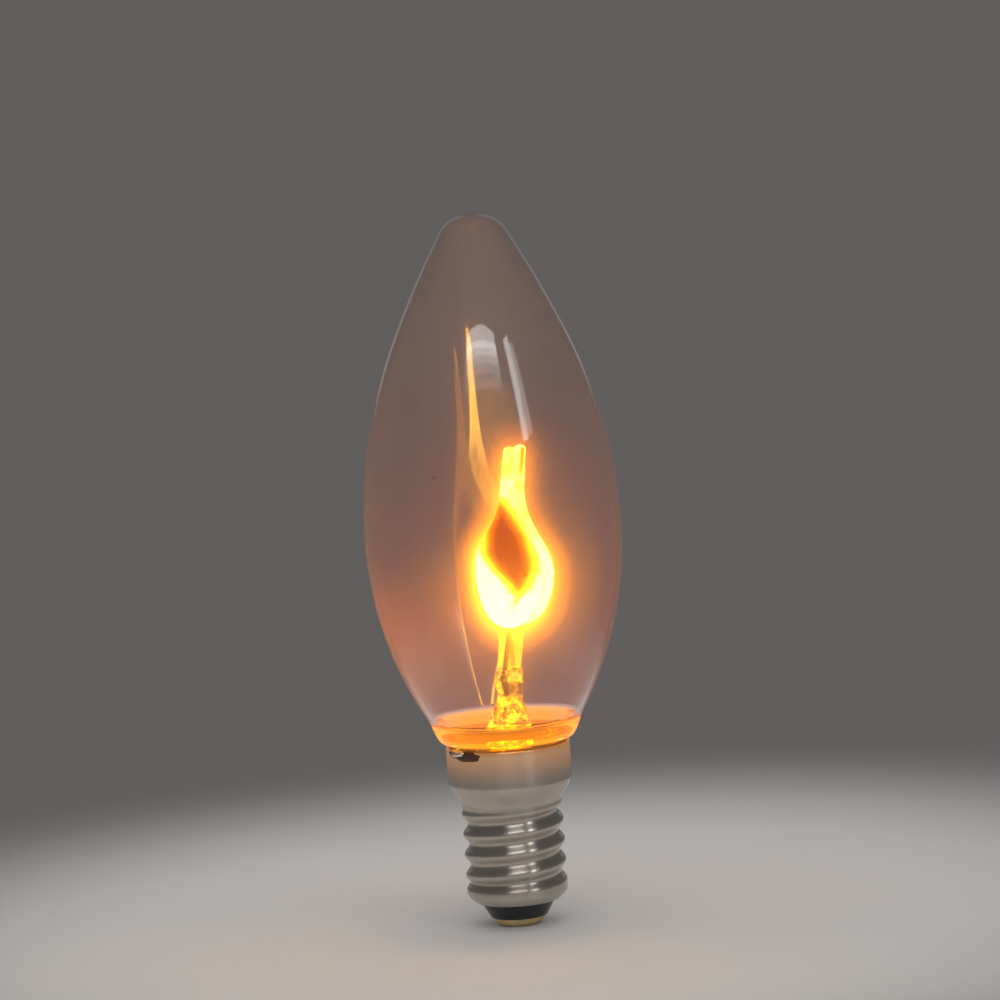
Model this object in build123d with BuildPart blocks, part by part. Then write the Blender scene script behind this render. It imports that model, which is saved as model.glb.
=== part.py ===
from build123d import *
import os
from math import asin, atan2, cos, degrees, radians, sin, sqrt, tan

# Flame effect bulb: a clear candle-shaped glass on a small screw cap. Two flame-shaped plates
# stand side by side on a glass stem inside and glow.
# Millimetres, +Z up. The origin is the centre of the end contact, the lowest face. -Y is the front.

# Fit between pieces that are moulded, soldered, fused or pressed together
fit_gap = 0.02

# Screw cap, its barrel measured over the crests of the thread
cap_height = 25.0
cap_sheet = 0.3
barrel_diameter = 13.89
collar_diameter = 17.0
collar_height = 5.4
shoulder_height = 2.3
lip_height = 3.2
lip_width = 0.65
lip_bevel = 1.1

# End contact and the insulator that carries it
contact_diameter = 6.8
contact_height = 1.0
contact_edge = 0.35
eyelet_diameter = 2.4
eyelet_bore_diameter = 1.2
eyelet_recess = 0.5
dimple_diameter = 2.8
dimple_depth = 0.55
insulator_margin = 0.5
insulator_plug_rise = 0.6

# Glass envelope: four arcs from the bead at the collar up to the tip, each tangent to the next
bulb_diameter = 35.0
belly_rise = 29.1
flank_radius = 50.0
flank_foot_rise = 3.35
belly_radius = 67.0
belly_sweep = 23.8
shoulder_radius = 134.0
tip_radius = 5.25
glass_wall = 0.7
bead_overhang = 0.45
bead_bulge = 0.3
neck_lift = 0.5
throat_rise = 1.2

# Cement between the collar and the neck
cement_thickness = 0.9
cement_lift = 0.8
cement_recess = 0.4

# Glass stem, leaning and turned in the neck as it was sealed in
mount_lean = 3.6
mount_turn = -28.0
flare_seat = 0.3
flare_wall = 0.6
stem_diameter = 6.4
stem_tube_length = 5.2
taper_length = 2.4
taper_diameter = 5.8
pinch_length = 1.4
pinch_thickness = 4.7
pinch_width = 5.5
waist_length = 2.6
waist_thickness = 2.8
press_head_length = 1.6
press_head_thickness = 3.7
press_width = 5.2
press_top_length = 1.7
press_top_thickness = 2.8
press_top_edge = 0.7
cavity_length = 3.2
blow_hole_diameter = 1.0
blow_hole_lift = 1.3
blow_hole_angle = -36.0

# Exhaust tube
exhaust_diameter = 2.0
exhaust_bore_diameter = 1.1
exhaust_seat = 0.6
exhaust_length = 19.4
exhaust_seal = 1.4

# Flame plates, each like a drop drawn up to a narrow tip and cut from a crowned strip
plate_sheet = 0.25
plate_spacing = 3.2
plate_offset = 0.5
plate_rise = 20.7
plate_height = 24.6
plate_crown_radius = 20.0
strip_margin = 1.0
flame_width = 10.3
flame_left_height = 8.3
flame_right_height = 7.4
flame_neck_width = 1.9
flame_neck_height = 19.6
flame_tip_width = 1.6
flame_base_fullness = 3.1
flame_belly_fullness = 4.4
flame_neck_fullness = 6.4
tip_bend_height = 15.0
tip_bend_angle = 14.0

# Leads from the press up to the plates
lead_diameter = 0.66
lead_offset = 0.55
lead_weld_length = 5.0
lead_bend = 0.8

# Thin wires from the leads down to the cap
wire_diameter = 0.34
wire_bend = 0.5
wire_clearance = 0.3
wire_weld_drop = 0.2
exhaust_clearance = 0.13
rim_bend_inside = 0.03
rim_clearance = 0.055
contact_wire_height = 0.35

# Series resistor inside the cap
resistor_diameter = 2.4
resistor_length = 6.5
resistor_edge = 0.6
resistor_offset = 3.6
resistor_bottom_height = 9.0
resistor_tail = 1.2

# Solder on the collar, at the left of the front
solder_angle = 216.0
solder_diameter = 2.5
solder_rise = 0.75
solder_drop = 0.2
solder_sink = 0.3

# Cap: radii and heights that follow from the sizes
barrel_radius = barrel_diameter / 2
barrel_inner_radius = barrel_radius - cap_sheet
barrel_bottom_height = lip_height + lip_bevel
lip_radius = barrel_radius - lip_bevel - lip_width
collar_radius = collar_diameter / 2
collar_inner_radius = collar_radius - cap_sheet
collar_bottom_height = cap_height - collar_height
shoulder_bottom_height = collar_bottom_height - shoulder_height
insulator_top_height = barrel_bottom_height + insulator_plug_rise

# Glass: the centres of its arcs, its neck and the bead that sits over the rim
bulb_radius = bulb_diameter / 2
belly_height = cap_height + belly_rise
flank_centre = (bulb_radius - flank_radius, belly_height)
flank_sweep = degrees(asin((belly_rise - flank_foot_rise) / flank_radius))
belly_centre = (bulb_radius - belly_radius, belly_height)
shoulder_centre = (
    belly_centre[0] - (shoulder_radius - belly_radius) * cos(radians(belly_sweep)),
    belly_centre[1] - (shoulder_radius - belly_radius) * sin(radians(belly_sweep)),
)
tip_centre_rise = sqrt((shoulder_radius - tip_radius) ** 2 - shoulder_centre[0] ** 2)
tip_centre = (0, shoulder_centre[1] + tip_centre_rise)
tip_angle = degrees(atan2(tip_centre_rise, -shoulder_centre[0]))
tip_height = tip_centre[1] + tip_radius
rim_gap = wire_diameter + 2 * rim_clearance
bead_height = cap_height + rim_gap
bead_radius = collar_radius + bead_overhang
neck_radius = collar_inner_radius - cement_thickness
neck_bore_radius = neck_radius - glass_wall
neck_bottom_height = collar_bottom_height + neck_lift
flare_height = neck_bottom_height + flare_seat

# Rises along the stem, from the flare up to the top of the press
taper_rise = stem_tube_length + taper_length
pinch_rise = taper_rise + pinch_length
waist_rise = pinch_rise + waist_length
press_head_rise = waist_rise + press_head_length
press_top_rise = press_head_rise + press_top_length
cavity_rise = stem_tube_length + cavity_length
blow_hole_rise = cavity_rise + blow_hole_lift
wire_weld_rise = waist_rise - wire_weld_drop

# Frame of the stem: its axis leans to the right and its front is turned to the left
lean = radians(mount_lean)
turn = radians(mount_turn)
mount_plane = Plane(
    origin=(0, 0, flare_height),
    x_dir=(cos(lean) * cos(turn), sin(turn), -sin(lean) * cos(turn)),
    z_dir=(sin(lean), 0, cos(lean)),
)
mount_side = Plane(mount_plane.origin, x_dir=mount_plane.x_dir, z_dir=-mount_plane.y_dir)
mount_axis = Axis(mount_plane.origin, mount_plane.z_dir)
blow_hole_turn = radians(blow_hole_angle)
blow_hole_plane = Plane(
    mount_plane.from_local_coords(Vector(0, 0, blow_hole_rise)),
    x_dir=mount_plane.z_dir,
    z_dir=mount_plane.x_dir * cos(blow_hole_turn) + mount_plane.y_dir * sin(blow_hole_turn),
)


def on_mount(across, depth, rise):
    """A point given in the frame of the stem."""
    return mount_plane.from_local_coords(Vector(across, depth, rise))


def run_wire(points, diameter, bend, mode=Mode.ADD):
    """Sweep a round wire through the points with its corners bent."""
    with BuildLine() as path:
        FilletPolyline(points, radius=bend)
    with BuildSketch(Plane(origin=path.line @ 0, z_dir=path.line % 0)) as section:
        Circle(diameter / 2)
    sweep(section.sketch, path=path.line, mode=mode)


def draw_wall(inset):
    """The arcs of the glass from its foot to its tip, this far inside the outer face."""
    CenterArc(flank_centre, flank_radius - inset, -flank_sweep, flank_sweep)
    CenterArc(belly_centre, belly_radius - inset, 0, belly_sweep)
    CenterArc(shoulder_centre, shoulder_radius - inset, belly_sweep, tip_angle - belly_sweep)
    CenterArc(tip_centre, tip_radius - inset, tip_angle, 90 - tip_angle)


def wall_foot(inset):
    """Where the lowest of the arcs of the glass starts."""
    return (
        flank_centre[0] + (flank_radius - inset) * cos(radians(flank_sweep)),
        flank_centre[1] - (flank_radius - inset) * sin(radians(flank_sweep)),
    )


def draw_flame_edge(side, widest_height):
    """One edge of the flame from its base to its tip, on the left (-1) or the right (1)."""
    belly = side * flame_width / 2
    neck = side * flame_neck_width / 2
    tip = side * flame_tip_width / 2
    Bezier(
        (0, 0),
        (side * flame_base_fullness, 0),
        (belly, widest_height - flame_belly_fullness),
        (belly, widest_height),
    )
    Bezier(
        (belly, widest_height),
        (belly, widest_height + flame_belly_fullness),
        (neck, flame_neck_height - flame_neck_fullness),
        (neck, flame_neck_height),
    )
    Line((neck, flame_neck_height), (tip, plate_height))


def form_plate(depth):
    """One flame plate at this depth from the stem's axis: a crowned strip bent back, then cut out."""
    centre = on_mount(plate_offset, depth, plate_rise)
    foot_centre = on_mount(plate_offset, depth, plate_rise - strip_margin)
    side = Plane(centre, x_dir=mount_plane.x_dir, z_dir=-mount_plane.y_dir)
    edge = Plane(centre, x_dir=mount_plane.y_dir, z_dir=mount_plane.x_dir)
    foot = Plane(foot_centre, x_dir=mount_plane.x_dir, z_dir=mount_plane.z_dir)
    curl_length = plate_height + strip_margin - tip_bend_height
    crown_sweep = degrees((flame_width + 2 * strip_margin) / plate_crown_radius)
    with BuildLine(edge) as bend:
        straight = Line((0, -strip_margin), (0, tip_bend_height))
        JernArc(straight @ 1, straight % 1, curl_length / radians(tip_bend_angle), -tip_bend_angle)
    with BuildSketch(foot) as strip:
        with BuildLine():
            CenterArc(
                (0, plate_crown_radius),
                plate_crown_radius + plate_sheet / 2,
                270 - crown_sweep / 2,
                crown_sweep,
            )
            offset(amount=plate_sheet, side=Side.LEFT)
        make_face()
    sweep(strip.sketch, path=bend.line)
    with BuildSketch(side) as outline:
        with BuildLine():
            draw_flame_edge(-1, flame_left_height)
            draw_flame_edge(1, flame_right_height)
            Line((-flame_tip_width / 2, plate_height), (flame_tip_width / 2, plate_height))
        make_face()
    extrude(outline.sketch, amount=flame_width, both=True, mode=Mode.INTERSECT)


# Routes of the leads, which lie against the inner faces of the plates
lead_spacing = exhaust_diameter + wire_diameter + 2 * exhaust_clearance
lead_depth = plate_spacing / 2 - plate_sheet / 2 - fit_gap - lead_diameter / 2
weld_top_rise = plate_rise + lead_weld_length
front_lead_route = [
    on_mount(0, -lead_spacing / 2, wire_weld_rise + fit_gap),
    on_mount(0, -lead_spacing / 2, press_top_rise),
    on_mount(lead_offset, -lead_depth, plate_rise - lead_bend),
    on_mount(lead_offset, -lead_depth, weld_top_rise),
]
rear_lead_route = [
    on_mount(0, lead_spacing / 2, wire_weld_rise + fit_gap),
    on_mount(0, lead_spacing / 2, press_top_rise),
    on_mount(-lead_offset, lead_depth, plate_rise - lead_bend),
    on_mount(-lead_offset, lead_depth, weld_top_rise),
]

# Route of the collar's wire: down the stem, out under the neck, up and over the rim
solder_x = cos(radians(solder_angle))
solder_y = sin(radians(solder_angle))
solder_height = cap_height - solder_drop
wire_slot_radius = (neck_radius + collar_inner_radius) / 2
wire_outside_radius = collar_radius + wire_diameter
wire_under_height = neck_bottom_height - wire_clearance - wire_diameter / 2
wire_over_height = cap_height + rim_gap / 2
collar_wire_route = [
    on_mount(0, -lead_spacing / 2, wire_weld_rise),
    on_mount(0, -lead_spacing / 2, wire_under_height - flare_height),
    Vector(wire_slot_radius * solder_x, wire_slot_radius * solder_y, wire_under_height),
    Vector(wire_slot_radius * solder_x, wire_slot_radius * solder_y, wire_over_height),
    Vector(wire_outside_radius * solder_x, wire_outside_radius * solder_y, wire_over_height),
    Vector(wire_outside_radius * solder_x, wire_outside_radius * solder_y, solder_height),
]
rim_bend = wire_diameter / 2 + rim_bend_inside
collar_wire_bends = [wire_bend, wire_bend, rim_bend, rim_bend]

# Routes of the wires above and below the series resistor
resistor_x = resistor_offset * mount_plane.y_dir.X
resistor_y = resistor_offset * mount_plane.y_dir.Y
resistor_top_height = resistor_bottom_height + resistor_length
resistor_wire_route = [
    on_mount(0, lead_spacing / 2, wire_weld_rise),
    on_mount(0, lead_spacing / 2, 0),
    Vector(resistor_x, resistor_y, resistor_top_height + resistor_tail),
    Vector(resistor_x, resistor_y, resistor_top_height + fit_gap),
]
contact_wire_route = [
    Vector(resistor_x, resistor_y, resistor_bottom_height - fit_gap),
    Vector(resistor_x, resistor_y, resistor_bottom_height - resistor_tail),
    Vector(0, 0, insulator_top_height + wire_bend),
    Vector(0, 0, contact_wire_height),
]

os.makedirs("parts", exist_ok=True)

# Cap shell: one thin sheet, with a lip turned in at the foot and a collar widened at the top
with BuildPart() as cap_shell:
    with BuildSketch(Plane.XZ) as sheet_section:
        with BuildLine() as sheet_line:
            Polyline(
                (lip_radius, lip_height),
                (barrel_radius - lip_bevel, lip_height),
                (barrel_radius, barrel_bottom_height),
                (barrel_radius, shoulder_bottom_height),
                (collar_radius, collar_bottom_height),
                (collar_radius, cap_height),
            )
            offset(amount=cap_sheet, side=Side.LEFT, kind=Kind.INTERSECTION)
        make_face()
    revolve(axis=Axis.Z)
cap_shell.part.label = "cap_shell"
export_step(cap_shell.part, "parts/cap_shell.step")

# Insulator: a plug cast on the lip, with a cone below that carries the contact
foot_radius = contact_diameter / 2 + insulator_margin
foot_height = contact_height + fit_gap
brim_radius = lip_radius - fit_gap
plug_radius = barrel_inner_radius - fit_gap
plug_bottom_height = lip_height + cap_sheet + fit_gap
plug_bevel = lip_bevel - (cap_sheet + fit_gap) * (2 - sqrt(2))
eyelet_hole_radius = eyelet_diameter / 2 + fit_gap
with BuildPart() as cap_insulator:
    with BuildSketch(Plane.XZ) as insulator_section:
        with BuildLine():
            Polyline(
                (eyelet_hole_radius, foot_height),
                (foot_radius, foot_height),
                (brim_radius, lip_height),
                (brim_radius, plug_bottom_height),
                (plug_radius - plug_bevel, plug_bottom_height),
                (plug_radius, plug_bottom_height + plug_bevel),
                (plug_radius, insulator_top_height),
                (eyelet_hole_radius, insulator_top_height),
                close=True,
            )
        make_face()
    revolve(axis=Axis.Z)
cap_insulator.part.label = "cap_insulator"
export_step(cap_insulator.part, "parts/cap_insulator.step")

# End contact: a pressed disc with an eyelet that runs up through the insulator
contact_radius = contact_diameter / 2
eyelet_radius = eyelet_diameter / 2
eyelet_bore_radius = eyelet_bore_diameter / 2
eyelet_top_height = insulator_top_height - eyelet_recess
with BuildPart() as end_contact:
    with BuildSketch(Plane.XZ) as contact_section:
        with BuildLine():
            Polyline(
                (dimple_diameter / 2, 0),
                (contact_radius - contact_edge, 0),
                (contact_radius, contact_edge),
                (contact_radius, contact_height),
                (eyelet_radius, contact_height),
                (eyelet_radius, eyelet_top_height),
                (eyelet_bore_radius, eyelet_top_height),
                (eyelet_bore_radius, dimple_depth),
                close=True,
            )
        make_face()
    revolve(axis=Axis.Z)
end_contact.part.label = "end_contact"
export_step(end_contact.part, "parts/end_contact.step")

# Solder that fills the dimple of the contact round the end of its wire
with BuildPart() as end_solder:
    with BuildSketch(Plane.XZ) as end_solder_section:
        with BuildLine():
            Polyline(
                (0, fit_gap),
                (dimple_diameter / 2 - 2 * fit_gap, fit_gap),
                (eyelet_bore_radius - fit_gap, dimple_depth),
                (eyelet_bore_radius - fit_gap, contact_height),
                (0, contact_height),
                close=True,
            )
        make_face()
    revolve(axis=Axis.Z)
    run_wire(contact_wire_route, wire_diameter + 2 * fit_gap, wire_bend, Mode.SUBTRACT)
end_solder.part.label = "end_solder"
export_step(end_solder.part, "parts/end_solder.step")

# Glass envelope: blown in one, with a thick bead over the collar and a neck down inside it
with BuildPart() as glass_envelope:
    with BuildSketch(Plane.XZ) as glass_outside:
        with BuildLine():
            draw_wall(0)
            Polyline(
                (0, tip_height),
                (0, neck_bottom_height),
                (neck_radius, neck_bottom_height),
                (neck_radius, bead_height),
                (bead_radius, bead_height),
            )
            SagittaArc((bead_radius, bead_height), wall_foot(0), -bead_bulge)
        make_face()
    revolve(axis=Axis.Z)
    with BuildSketch(Plane.XZ) as glass_inside:
        with BuildLine():
            draw_wall(glass_wall)
            Polyline(
                (0, tip_height - glass_wall),
                (0, neck_bottom_height),
                (neck_bore_radius, neck_bottom_height),
                (neck_bore_radius, bead_height + throat_rise),
                wall_foot(glass_wall),
            )
        make_face()
    revolve(axis=Axis.Z, mode=Mode.SUBTRACT)
glass_envelope.part.label = "glass_envelope"
export_step(glass_envelope.part, "parts/glass_envelope.step")

# Glass stem: a tube flared out to the neck below and pressed shut round the leads above
flare_radius = (neck_bore_radius - fit_gap) / cos(lean) - flare_wall * tan(lean)
stem_radius = stem_diameter / 2
stem_bore_radius = stem_radius - flare_wall
flare_bend = flare_radius - stem_radius
exhaust_radius = exhaust_diameter / 2
exhaust_bore_radius = exhaust_bore_diameter / 2
with BuildPart() as glass_stem:
    with BuildSketch(mount_side) as flare_section:
        with BuildLine():
            CenterArc((flare_radius, flare_bend), flare_bend, 180, 90)
            CenterArc((flare_radius, flare_bend), flare_bend + flare_wall, 180, 90)
            Line((flare_radius, -flare_wall), (flare_radius, 0))
            Polyline(
                (stem_radius, flare_bend),
                (stem_radius, stem_tube_length),
                (stem_bore_radius, stem_tube_length),
                (stem_bore_radius, flare_bend),
            )
        make_face()
    revolve(axis=mount_axis)
    with BuildSketch(mount_plane.offset(stem_tube_length)):
        Circle(stem_radius)
    with BuildSketch(mount_plane.offset(taper_rise)):
        Circle(taper_diameter / 2)
    with BuildSketch(mount_plane.offset(pinch_rise)):
        Ellipse(pinch_thickness / 2, pinch_width / 2)
    with BuildSketch(mount_plane.offset(waist_rise)):
        Ellipse(waist_thickness / 2, press_width / 2)
    with BuildSketch(mount_plane.offset(press_head_rise)):
        Ellipse(press_head_thickness / 2, press_width / 2)
    with BuildSketch(mount_plane.offset(press_top_rise)):
        Ellipse(press_top_thickness / 2, press_width / 2)
    loft()
    fillet(glass_stem.faces().sort_by(mount_axis)[-1].edges(), press_top_edge)
    with BuildSketch(mount_plane.offset(stem_tube_length)):
        Circle(stem_bore_radius)
    with BuildSketch(mount_plane.offset(cavity_rise)):
        Ellipse(pinch_thickness / 2 - flare_wall, pinch_width / 2 - flare_wall)
    loft(mode=Mode.SUBTRACT)
    # Seat of the exhaust tube, and the hole blown from it to the inside of the bulb
    with BuildSketch(mount_plane.offset(cavity_rise)):
        Circle(exhaust_radius + fit_gap)
    extrude(amount=exhaust_seat, mode=Mode.SUBTRACT)
    with BuildSketch(mount_plane.offset(cavity_rise)):
        Circle(exhaust_bore_radius)
    extrude(amount=blow_hole_lift + blow_hole_diameter, mode=Mode.SUBTRACT)
    with BuildSketch(blow_hole_plane):
        Circle(blow_hole_diameter / 2)
    extrude(amount=pinch_width, mode=Mode.SUBTRACT)
    run_wire(front_lead_route, lead_diameter + 2 * fit_gap, lead_bend, Mode.SUBTRACT)
    run_wire(rear_lead_route, lead_diameter + 2 * fit_gap, lead_bend, Mode.SUBTRACT)
    run_wire(collar_wire_route, wire_diameter + 2 * fit_gap, collar_wire_bends, Mode.SUBTRACT)
    run_wire(resistor_wire_route, wire_diameter + 2 * fit_gap, wire_bend, Mode.SUBTRACT)
glass_stem.part.label = "glass_stem"
export_step(glass_stem.part, "parts/glass_stem.step")

# Exhaust tube: open into the stem above and melted shut below
exhaust_top_rise = cavity_rise + exhaust_seat - fit_gap
exhaust_bottom_rise = exhaust_top_rise - exhaust_length
with BuildPart() as exhaust_tube:
    with BuildSketch(mount_side) as exhaust_section:
        with BuildLine():
            CenterArc((0, exhaust_bottom_rise + exhaust_radius), exhaust_radius, -90, 90)
            Polyline(
                (exhaust_radius, exhaust_bottom_rise + exhaust_radius),
                (exhaust_radius, exhaust_top_rise),
                (exhaust_bore_radius, exhaust_top_rise),
                (exhaust_bore_radius, exhaust_bottom_rise + 2 * exhaust_seal),
                (0, exhaust_bottom_rise + exhaust_seal),
                (0, exhaust_bottom_rise),
            )
        make_face()
    revolve(axis=mount_axis)
exhaust_tube.part.label = "exhaust_tube"
export_step(exhaust_tube.part, "parts/exhaust_tube.step")

# Flame plates: two like stampings, crowned across, with the tip bent back
with BuildPart() as front_plate:
    form_plate(-plate_spacing / 2)
front_plate.part.label = "front_plate"
export_step(front_plate.part, "parts/front_plate.step")

with BuildPart() as rear_plate:
    form_plate(plate_spacing / 2)
rear_plate.part.label = "rear_plate"
export_step(rear_plate.part, "parts/rear_plate.step")

# Leads welded to the plates
with BuildPart() as front_lead:
    run_wire(front_lead_route, lead_diameter, lead_bend)
front_lead.part.label = "front_lead"
export_step(front_lead.part, "parts/front_lead.step")

with BuildPart() as rear_lead:
    run_wire(rear_lead_route, lead_diameter, lead_bend)
rear_lead.part.label = "rear_lead"
export_step(rear_lead.part, "parts/rear_lead.step")

# Thin wires that carry on from the leads below the press, and one from the resistor to the contact
with BuildPart() as collar_wire:
    run_wire(collar_wire_route, wire_diameter, collar_wire_bends)
collar_wire.part.label = "collar_wire"
export_step(collar_wire.part, "parts/collar_wire.step")

with BuildPart() as resistor_wire:
    run_wire(resistor_wire_route, wire_diameter, wire_bend)
resistor_wire.part.label = "resistor_wire"
export_step(resistor_wire.part, "parts/resistor_wire.step")

with BuildPart() as contact_wire:
    run_wire(contact_wire_route, wire_diameter, wire_bend)
contact_wire.part.label = "contact_wire"
export_step(contact_wire.part, "parts/contact_wire.step")

# Series resistor, upright in the cap beside the exhaust tube
with BuildPart() as series_resistor:
    with BuildSketch(Plane((resistor_x, resistor_y, resistor_bottom_height))):
        Circle(resistor_diameter / 2)
    extrude(amount=resistor_length)
    fillet(series_resistor.edges().filter_by(GeomType.CIRCLE), resistor_edge)
series_resistor.part.label = "series_resistor"
export_step(series_resistor.part, "parts/series_resistor.step")

# Cement that holds the neck in the collar, run round the wire on its way up
cement_bottom_height = collar_bottom_height + cement_lift
cement_top_height = cap_height - cement_recess
with BuildPart() as basing_cement:
    with BuildSketch(Plane.XY.offset(cement_bottom_height)):
        Circle(collar_inner_radius - fit_gap)
        Circle(neck_radius + fit_gap, mode=Mode.SUBTRACT)
    extrude(amount=cement_top_height - cement_bottom_height)
    run_wire(collar_wire_route, wire_diameter + 2 * fit_gap, collar_wire_bends, Mode.SUBTRACT)
basing_cement.part.label = "basing_cement"
export_step(basing_cement.part, "parts/basing_cement.step")

# Solder over the end of the wire, a bead on the outside of the collar
solder_plane = Plane(
    (collar_radius * solder_x, collar_radius * solder_y, solder_height),
    x_dir=(-solder_y, solder_x, 0),
    z_dir=(solder_x, solder_y, 0),
)
solder_radius = solder_diameter / 2
with BuildPart() as collar_solder:
    with BuildSketch(Plane(solder_plane.origin, solder_plane.x_dir, -solder_plane.y_dir)):
        with BuildLine():
            EllipticalCenterArc(
                (0, -solder_sink), solder_radius, solder_rise + solder_sink, arc_size=90
            )
            Polyline((0, solder_rise), (0, -solder_sink), (solder_radius, -solder_sink))
        make_face()
    revolve(axis=Axis(solder_plane.origin, solder_plane.z_dir))
    with BuildSketch(Plane.XY):
        Circle(collar_radius + fit_gap)
    extrude(amount=cap_height + solder_diameter, mode=Mode.SUBTRACT)
    split(bisect_by=Plane.XY.offset(bead_height - fit_gap), keep=Keep.BOTTOM)
    run_wire(collar_wire_route, wire_diameter + 2 * fit_gap, collar_wire_bends, Mode.SUBTRACT)
collar_solder.part.label = "collar_solder"
export_step(collar_solder.part, "parts/collar_solder.step")
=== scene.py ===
# %% [markdown]
# # Flame effect bulb
# This lesson dresses a small glow lamp: a clear candle-shaped glass on a screw cap, with two
# flame-shaped plates inside that glow orange. The measured solids are the fixed frame, and every
# piece made here stands where its solid stands. All sizes are in millimetres and are turned into
# metres when a mesh is made.

# %% Load the frame
import bpy
import numpy as np
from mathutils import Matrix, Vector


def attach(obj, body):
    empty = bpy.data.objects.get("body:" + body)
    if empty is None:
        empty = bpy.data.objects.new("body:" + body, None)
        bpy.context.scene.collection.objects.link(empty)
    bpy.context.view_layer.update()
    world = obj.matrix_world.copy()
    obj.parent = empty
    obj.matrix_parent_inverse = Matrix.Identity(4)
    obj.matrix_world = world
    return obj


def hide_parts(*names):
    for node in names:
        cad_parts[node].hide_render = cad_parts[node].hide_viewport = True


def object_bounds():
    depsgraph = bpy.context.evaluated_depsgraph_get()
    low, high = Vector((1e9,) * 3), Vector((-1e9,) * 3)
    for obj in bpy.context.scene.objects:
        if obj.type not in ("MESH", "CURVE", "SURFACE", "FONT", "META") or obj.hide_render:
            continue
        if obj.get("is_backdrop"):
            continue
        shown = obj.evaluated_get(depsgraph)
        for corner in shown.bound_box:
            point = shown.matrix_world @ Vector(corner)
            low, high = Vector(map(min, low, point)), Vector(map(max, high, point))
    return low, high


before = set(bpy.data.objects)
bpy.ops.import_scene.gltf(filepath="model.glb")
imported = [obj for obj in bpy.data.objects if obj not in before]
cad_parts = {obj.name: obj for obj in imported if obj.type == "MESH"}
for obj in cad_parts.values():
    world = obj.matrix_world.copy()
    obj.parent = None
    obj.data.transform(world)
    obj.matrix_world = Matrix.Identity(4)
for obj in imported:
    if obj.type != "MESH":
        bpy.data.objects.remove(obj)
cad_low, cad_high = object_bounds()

MM = 0.001
TURN = 2 * np.pi
bpy.context.scene.view_settings.view_transform = "Standard"
print("solids:", len(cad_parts), "height in mm:", round((cad_high.z - cad_low.z) / MM, 1))

# %% [markdown]
# ## The camera
# The camera stands where the photographer stood: a long lens, a little above the bulb and rolled a
# few degrees, so that the bulb leans to the left. A rotation matrix built from the view direction
# is used rather than angles, because a roll is then one sum of two vectors.

# %% Camera
CAMERA_DISTANCE = 600.0
CAMERA_AIM = np.array([1.24, 0.0, 58.4])
CAMERA_PITCH = np.radians(6.2)
CAMERA_ROLL = np.radians(-3.94)
CAMERA_LENS = 158.6

forward = np.array([0.0, np.cos(CAMERA_PITCH), -np.sin(CAMERA_PITCH)])
level_right = np.array([1.0, 0.0, 0.0])
level_up = np.cross(level_right, forward)
right = level_right * np.cos(CAMERA_ROLL) + level_up * np.sin(CAMERA_ROLL)
up = level_up * np.cos(CAMERA_ROLL) - level_right * np.sin(CAMERA_ROLL)
placing = np.eye(4)
placing[:3, :3] = np.stack([right, up, -forward], axis=1)
placing[:3, 3] = (CAMERA_AIM - CAMERA_DISTANCE * forward) * MM

camera = bpy.data.objects.new("camera", bpy.data.cameras.new("camera"))
camera.data.lens = CAMERA_LENS
camera.data.sensor_width = 36.0
camera.data.clip_start = 0.01
camera.matrix_world = placing.T.tolist()
bpy.context.scene.collection.objects.link(camera)
bpy.context.scene.camera = camera
print("camera at", [round(x, 3) for x in placing[:3, 3]])

# %% [markdown]
# ## Surfaces from arrays
# Every new piece is a grid of points, rows by columns, worked out as whole arrays. One helper turns
# a grid into a mesh. It welds points that fall on each other, so a turned shape closes at its seam
# and at its poles by itself, and the four-cornered faces there become triangles.

# %% Mesh helper
WELD = 1e-7


def make_mesh(name, points):
    """A mesh from a grid of points in metres: neighbours in rows and columns make the faces, and
    points closer than the weld become one. Also gives the place in the grid of each point kept."""
    rows, columns = points.shape[:2]
    index = np.arange(rows * columns).reshape(rows, columns)
    quads = np.stack([index[:-1, :-1], index[:-1, 1:], index[1:, 1:], index[1:, :-1]], axis=-1)
    flat = points.reshape(-1, 3)
    _, first, same = np.unique(np.round(flat / WELD), axis=0, return_index=True, return_inverse=True)
    quads = same.reshape(-1)[quads.reshape(-1, 4)]
    repeats = quads == np.roll(quads, -1, axis=1)
    whole = quads[~repeats.any(axis=1)]
    pinched = repeats.sum(axis=1) == 1
    triangles = quads[pinched][~repeats[pinched]].reshape(-1, 3)
    mesh = bpy.data.meshes.new(name)
    mesh.from_pydata(flat[first].tolist(), [], whole.tolist() + triangles.tolist())
    mesh.shade_smooth()
    return mesh, first


def add_piece(name, points, slot, *nodes):
    """Make the grid, in millimetres, a piece of the bulb that stands for these solids."""
    mesh, first = make_mesh(name, points * MM)
    piece = bpy.data.objects.new(name, mesh)
    bpy.context.scene.collection.objects.link(piece)
    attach(piece, "root")
    if nodes:
        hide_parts(*nodes)
    print(name, "faces:", len(mesh.polygons))
    return piece, first


# %% [markdown]
# Nearly every piece was blown, rolled or turned about an axis. Blender's Screw modifier turns a profile
# too. Here one sum turns it, so that a thread or a wave can be taken off the radius before the mesh is
# made. Arcs and softened lines give the profiles.

# %% Curves and turned shapes
def arc(centre, radius, start, end, count):
    """Points on a circle: the centre plus the radius times the cosine and sine of even angles."""
    angles = np.radians(np.linspace(start, end, count))
    return np.stack([centre[0] + radius * np.cos(angles), centre[1] + radius * np.sin(angles)], axis=1)


def soften(points, rounds):
    """Cut the corners of an open line: each round puts new points a quarter and three quarters of
    the way along every stretch, and keeps the two ends."""
    points = np.asarray(points, float)
    for _ in range(rounds):
        near = 0.75 * points[:-1] + 0.25 * points[1:]
        far = 0.25 * points[:-1] + 0.75 * points[1:]
        cut = np.stack([near, far], axis=1).reshape(-1, points.shape[1])
        points = np.concatenate([points[:1], cut[1:-1], points[-1:]])
    return points


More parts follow.
